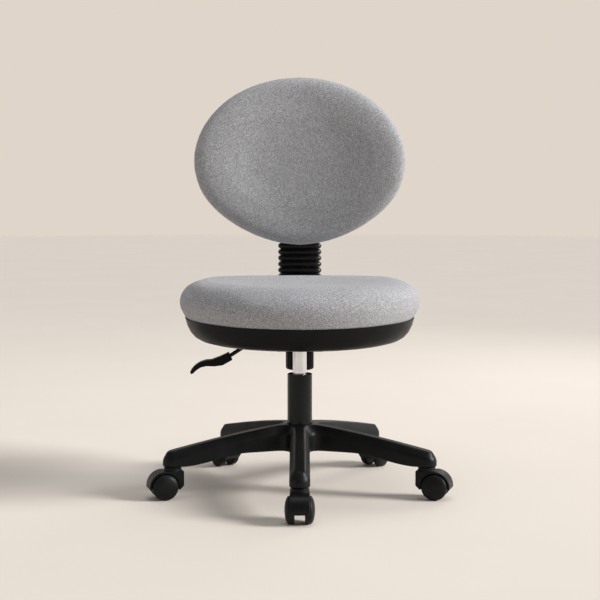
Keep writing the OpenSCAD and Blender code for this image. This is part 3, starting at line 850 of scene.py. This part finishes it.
def seat_shape(points):
    """The side is drawn in above the pan, the hem is pressed on its rim, the rest hides in the board."""
    middle = (seat_low + seat_high) / 2
    half = (board_high - board_low) / 2
    outwards = (points - np.array(middle)) * np.array([1, 1, 0])
    across = np.hypot(outwards[:, 0] / (half.x - HEM), outwards[:, 1] / (half.y - HEM))
    outwards /= np.maximum(np.linalg.norm(outwards, axis=1, keepdims=True), MM)
    height = points[:, 2] - seat_low.z
    under = 1 - ramp_up(height, 10 * MM, 16 * MM)
    rise = CLEARANCE * under * (1 - ramp_up(across, 0.96, 1.0))
    share = np.maximum(height, 0) / TUCK_HEIGHT
    tuck = TUCK * share * np.exp(1 - share) * ramp_up(across, 1.02, 1.08)
    rise -= SETTLE * (1 - ramp_up(height, 3 * MM, 16 * MM)) * ramp_up(across, 1.0, 1.04)
    return rise[:, None] * np.array([0, 0, 1]) - tuck[:, None] * outwards


def back_shape(points):
    """A valley down the middle of the front, where a spine rests, that fades out at the rim."""
    middle = (back_low + back_high) / 2
    half = (back_high - back_low) / 2
    up = (points[:, 2] - middle.z) / half.z
    front = 1 - ramp_up(points[:, 1], back_board_front - 24 * MM, back_board_front - 12 * MM)
    valley = np.exp(-((points[:, 0] - middle.x) / (75 * MM)) ** 2) * np.clip(1 - up * up, 0, 1)
    proud = (points - np.array(middle)) * np.array(PROUD)
    return (VALLEY * valley * front)[:, None] * np.array([0, 1, 0]) + proud


# ---------------------------------------------------------------- bellows


RIB_PITCH = 13 * MM       # between two ribs of the bellows
FOLD = 7 * MM             # how deep it folds in between them
SQUARENESS = 3.5          # of its section: 2 is an ellipse, and more is nearer to a rectangle


def bellows_point(middle, turn, inset, z):
    """A point of the rounded rectangle that lies that far inside the bellows' outline."""
    half = (bellows_high - bellows_low) / 2
    c, s = math.cos(turn), math.sin(turn)
    scale = (abs(c) ** SQUARENESS + abs(s) ** SQUARENESS) ** (-1 / SQUARENESS)
    return middle.x + (half.x - inset) * scale * c, middle.y + (half.y - inset) * scale * s, z


def build_bellows():
    """Ribs with round crests and sharper folds, drawn over the bar from the bracket to the seat."""
    middle = (bellows_high + bellows_low) / 2
    height = bellows_high.z - bellows_low.z
    ribs = round(height / RIB_PITCH)
    around, up = 112, 14
    points, faces = [], []
    rows = ribs * up + 1
    for row in range(rows):
        share = row / up
        inset = FOLD * (1 - abs(math.sin(math.pi * share)) ** 0.5)
        z = bellows_low.z + height * share / ribs
        for k in range(around):
            points.append(bellows_point(middle, 2 * math.pi * k / around, inset, z))
    for start in range(0, (rows - 1) * around, around):
        for k in range(around):
            m = (k + 1) % around
            faces.append((start + k, start + m, start + around + m, start + around + k))
    piece = put("rubber_bellows", mesh_from(points, faces, "rubber_bellows"), "bellows")
    wall = piece.modifiers.new("wall", "SOLIDIFY")
    wall.thickness = 1.6 * MM
    bake_modifiers(piece)
    piece.data.shade_smooth()
    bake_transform(piece)
    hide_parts("bellows")


# ---------------------------------------------------------------- casters


def build_casters():
    hood = softened_mesh("caster_hood_1", 0.9 * MM, 5)
    for i in range(1, ARMS + 1):
        turn = Matrix.Rotation(ARM_PITCH * (i - 1), 4, "Z")
        node = f"caster_hood_{i}"
        mesh = hood.copy()
        mesh.transform(turn)
        stand_for(put("soft_" + node, mesh, node), node)
        for side in ("left", "right"):
            build_wheel(f"wheel_{side}_{i}", turn)


DOME = 8.5 * MM           # height of a wheel's domed face
AXLE_HOLE = 4.2 * MM      # its radius
PARTING_LINE = 0.25 * MM  # its depth
TREAD_EDGE = 2 * MM       # radius where the tread meets the inner face


def wheel_profile(width):
    """A flat tread, and an outer face that is a low dome with a fine parting line near its rim."""
    profile = [(AXLE_HOLE, 0), (wheel_radius - TREAD_EDGE - 0.5 * MM, 0)]
    profile += arc((wheel_radius - TREAD_EDGE, TREAD_EDGE), TREAD_EDGE, -90, 0, 5)
    for degrees in np.linspace(0, 90, 25):
        t = math.radians(degrees)
        line = PARTING_LINE if degrees == 30 else 0
        radius = wheel_radius * math.cos(t) - line
        profile.append((radius, width - DOME * (1 - math.sin(t)) - line))
    profile[-1] = (0, width)
    return profile


def build_wheel(node, turn):
    """One wheel, turned on the lathe at the first caster and carried round to its own."""
    low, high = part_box(node.rsplit("_", 1)[0] + "_1")
    points, faces = lathe(wheel_profile(high.x - low.x), 80)
    mesh = mesh_from(points, faces, node)
    outwards = 1 if low.x + high.x > 0 else -1
    lay = Matrix.Rotation(math.radians(90 * outwards), 4, "Y")
    start = low.x if outwards > 0 else high.x
    hub = Matrix.Translation((start, (low.y + high.y) / 2, (low.z + high.z) / 2))
    mesh.transform(turn @ hub @ lay)
    mesh.set_sharp_from_angle(angle=math.radians(50))
    stand_for(put("turned_" + node, mesh, node), node)


# ---------------------------------------------------------------- the rest of the chair


def finish_cad_nodes():
    """CAD parts whose shape is already right keep their mesh and get their finish."""
    for name, node in frame["nodes"].items():
        if not node.hide_render:
            node.data.materials.clear()
            node.data.materials.append(finishes[slot_of[name]])


def build_metal_and_plastic():
    for node, width in (
        ("column_tube", 0.8), ("column_bush", 0.3), ("hub_ring", 0.5), ("gas_cylinder", 0.4),
        ("taper_socket", 0.8), ("mechanism_plate", 0.7), ("bar_guide", 0.8), ("plate_bolts", 0.5),
        ("back_bar", 1.0), ("bar_end_cap", 1.2), ("height_bracket", 0.7), ("back_cover", 0.8),
        ("seat_pan", 0.9), ("lever_rod", 0.3), ("seat_board", 0.6), ("back_board", 0.6),
    ):
        rounded(node, width * MM)
    fine = 0.8 * MM
    softened("lever_grip", fine, 5)
    softened("depth_knob", fine, 2)
    softened("height_knob", fine, 2)


add_camera()
add_studio()
add_floor()
build_base()
build_cushions()
build_bellows()
build_casters()
build_metal_and_plastic()
finish_cad_nodes()
